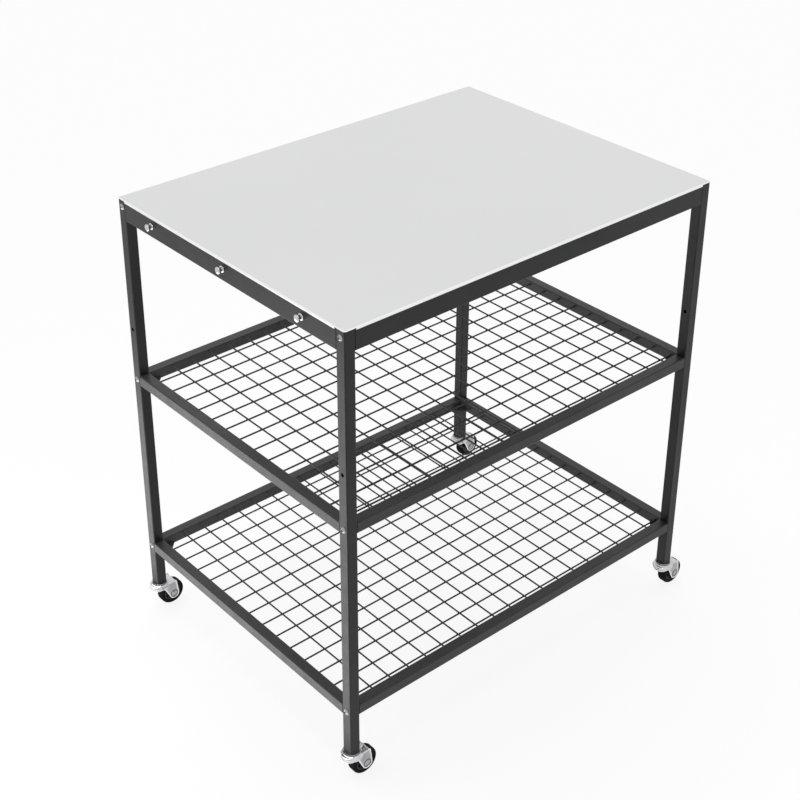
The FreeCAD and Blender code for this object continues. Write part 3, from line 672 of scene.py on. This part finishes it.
def tyre(name):
    """The moulded tyre: rounded shoulders, a groove in each side and two fine grooves round the tread."""
    low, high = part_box("wheel_tyre_" + name)
    axle = (low + high) / 2
    half = (high.y - low.y) / 2
    outer = (high.x - low.x) / 2
    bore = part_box("wheel_hub_" + name)[1].x - axle.x
    depths = (0.0, TYRE_GROOVE_DEPTH, TYRE_GROOVE_DEPTH, 0.0)
    side = [(half, bore)]
    side += [(half - depth, bore + out) for out, depth in zip(TYRE_SIDE_GROOVE, depths)]
    side += arc((half - TYRE_SHOULDER, outer - TYRE_SHOULDER), TYRE_SHOULDER, 0.0, 90.0, SHOULDER_POINTS)
    side += [(along, outer - depth) for along, depth in zip(TYRE_TREAD_GROOVE, depths)]
    profile = side + [(-along, radius) for along, radius in reversed(side)]
    work = bmesh.new()
    add_lathe(work, profile, axle, Vector((0, 1, 0)), TYRE_SEGMENTS)
    piece = finished("wheel_tyre_moulded_" + name, work, "tyre_rubber", "wheel_" + name,
                     smooth_angle=TYRE_SMOOTH_ANGLE)
    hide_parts("wheel_tyre_" + name)


def hub_ribs(name):
    """Radial ribs on both sides of the hub's web, between the boss and the rim."""
    low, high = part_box("wheel_hub_" + name)
    axle = (low + high) / 2
    size = (HUB_RIB_END - HUB_RIB_START, HUB_RIB_WIDTH, HUB_RIB_THICKNESS)
    out = ((HUB_RIB_END + HUB_RIB_START) / 2, 0, 0)
    work = bmesh.new()
    for index in range(HUB_RIB_COUNT):
        turn = Matrix.Rotation(2 * math.pi * index / HUB_RIB_COUNT, 4, "Y")
        made = bmesh.ops.create_cube(work, size=1.0)
        bmesh.ops.scale(work, vec=size, verts=made["verts"])
        bmesh.ops.translate(work, vec=out, verts=made["verts"])
        bmesh.ops.transform(work, matrix=Matrix.Translation(axle) @ turn, verts=made["verts"])
    finished("wheel_hub_ribs_" + name, work, "hub_plastic", "wheel_" + name)


def build_details():
    for level in SHELVES:
        shelf_welds(level)
    gusset_welds()
    for place in PEGS:
        softened("peg_hook_" + place, PLATED_EDGE)
    for name in CORNERS:
        softened("caster_fork_" + name, PLATED_EDGE)
        softened("wheel_hub_" + name, MOULDED_EDGE)
        fork_lip(name)
        axle_rings(name)
        cheek_panels(name)
        tyre(name)
        hub_ribs(name)


# Stage, lamps and camera

def math_node(tree, operation, source):
    """A maths node with its first input wired."""
    made = tree.nodes.new("ShaderNodeMath")
    made.operation = operation
    tree.links.new(source, made.inputs[0])
    return made


def white_for_camera(tree, plain, bright, share):
    """Mixes a share of bright into plain, for camera, glossy and transmission rays only."""
    path = tree.nodes.new("ShaderNodeLightPath")
    seen = path.outputs["Is Camera Ray"]
    for ray in ("Is Glossy Ray", "Is Transmission Ray"):
        either = math_node(tree, "MAXIMUM", seen)
        tree.links.new(path.outputs[ray], either.inputs[1])
        seen = either.outputs[0]
    shared = math_node(tree, "MULTIPLY", seen)
    shared.inputs[1].default_value = share
    mix = tree.nodes.new("ShaderNodeMixShader")
    tree.links.new(shared.outputs[0], mix.inputs[0])
    tree.links.new(plain, mix.inputs[1])
    tree.links.new(bright, mix.inputs[2])
    return mix.outputs[0]


def white_background(tree, strength):
    made = tree.nodes.new("ShaderNodeBackground")
    made.inputs["Color"].default_value = (1.0, 1.0, 1.0, 1.0)
    made.inputs["Strength"].default_value = strength
    return made.outputs[0]


def build_world():
    """A soft grey light on the table, with a white background behind it."""
    world = bpy.data.worlds.new("studio")
    bpy.context.scene.world = world
    world.use_nodes = True
    tree = world.node_tree
    tree.nodes.clear()
    soft = white_background(tree, WORLD_STRENGTH)
    white = white_background(tree, WHITE_STRENGTH)
    out = tree.nodes.new("ShaderNodeOutputWorld")
    tree.links.new(white_for_camera(tree, soft, white, 1.0), out.inputs[0])


def build_floor():
    """A pale floor, nearly white to the camera, that keeps a faint soft shadow of the table."""
    mesh = bpy.data.meshes.new("floor")
    corners = [(-FLOOR_HALF, -FLOOR_HALF, 0), (FLOOR_HALF, -FLOOR_HALF, 0),
               (FLOOR_HALF, FLOOR_HALF, 0), (-FLOOR_HALF, FLOOR_HALF, 0)]
    mesh.from_pydata(corners, [], [(0, 1, 2, 3)])
    floor = link(bpy.data.objects.new("floor", mesh))
    material = bpy.data.materials.new("pale_floor")
    material.use_nodes = True
    tree = material.node_tree
    shader = tree.nodes["Principled BSDF"]
    shader.inputs["Base Color"].default_value = (FLOOR_GREY, FLOOR_GREY, FLOOR_GREY, 1.0)
    shader.inputs["Roughness"].default_value = FLOOR_ROUGHNESS
    shader.inputs["Specular IOR Level"].default_value = FLOOR_SPECULAR
    glow = tree.nodes.new("ShaderNodeEmission")
    glow.inputs["Strength"].default_value = WHITE_STRENGTH
    mixed = white_for_camera(tree, shader.outputs[0], glow.outputs[0], FLOOR_WHITE_SHARE)
    tree.links.new(mixed, tree.nodes["Material Output"].inputs["Surface"])
    set_material(floor, material)


def add_lamp(name, place, aim, width, depth, watts, mirrored=True):
    """A soft box. One that isn't mirrored lights dull surfaces and doesn't show in glossy ones."""
    light = bpy.data.lights.new(name, "AREA")
    light.shape = "RECTANGLE"
    light.size = width
    light.size_y = depth
    light.energy = watts
    lamp = link(bpy.data.objects.new(name, light))
    lamp.location = place
    lamp.rotation_euler = (Vector(aim) - Vector(place)).to_track_quat("-Z", "Y").to_euler()
    lamp.visible_camera = False
    lamp.visible_glossy = mirrored


def add_floor_card(name, place, width, depth, watts):
    """A bright card that lies on the floor, for the reflections low on the table."""
    spot = Vector((*place, CARD_HEIGHT))
    add_lamp(name, spot, spot + Vector((0, 0, 1)), width, depth, watts)


def add_sky_light(name, source, strength, spread):
    """A very soft light from far above, the same all over the floor."""
    light = bpy.data.lights.new(name, "SUN")
    light.energy = strength
    light.angle = math.radians(spread)
    lamp = link(bpy.data.objects.new(name, light))
    lamp.rotation_euler = Vector(source).to_track_quat("Z", "Y").to_euler()
    lamp.visible_glossy = False


def build_lamps():
    add_sky_light("overhead", source=(0.15, 0.30, 1.0), strength=2.3, spread=60.0)
    add_lamp("left_box", place=(-1.3, 0.3, 0.7), aim=(-1.0, 0.2, 0.0),
             width=0.6, depth=1.8, watts=7.5, mirrored=False)
    add_lamp("front_box", place=(0.3, -1.9, 0.6), aim=(0.3, -1.2, 0.0),
             width=1.8, depth=0.6, watts=5.0, mirrored=False)
    add_lamp("sparkle", place=(-0.7, -0.85, 2.4), aim=(0.0, 0.0, 0.4),
             width=0.2, depth=0.2, watts=2.5)
    add_floor_card("left_card", place=(-0.80, 0.30), width=0.7, depth=1.4, watts=6.5)


def build_camera():
    data = bpy.data.cameras.new("photo_camera")
    data.sensor_fit = "HORIZONTAL"
    data.sensor_width = SENSOR_MM
    data.lens = FOCAL_PX * SENSOR_MM / PHOTO_SIZE
    data.shift_x = (PHOTO_SIZE / 2 - PRINCIPAL_PX[0]) / PHOTO_SIZE
    data.shift_y = (PRINCIPAL_PX[1] - PHOTO_SIZE / 2) / PHOTO_SIZE
    camera = link(bpy.data.objects.new("photo_camera", data))
    ahead = Vector((-math.sin(VIEW_AZIMUTH) * math.cos(VIEW_ELEVATION),
                    math.cos(VIEW_AZIMUTH) * math.cos(VIEW_ELEVATION),
                    -math.sin(VIEW_ELEVATION)))
    right = Vector((math.cos(VIEW_AZIMUTH), math.sin(VIEW_AZIMUTH), 0.0))
    up = right.cross(ahead)
    rolled_right = right * math.cos(VIEW_ROLL) + up * math.sin(VIEW_ROLL)
    rolled_up = up * math.cos(VIEW_ROLL) - right * math.sin(VIEW_ROLL)
    turn = Matrix((rolled_right, rolled_up, -ahead)).transposed()
    camera.matrix_world = Matrix.Translation(CAMERA_PLACE) @ turn.to_4x4()
    bpy.context.scene.camera = camera


build_details()
build_world()
build_floor()
build_lamps()
build_camera()
bpy.context.scene.view_settings.view_transform = "Standard"
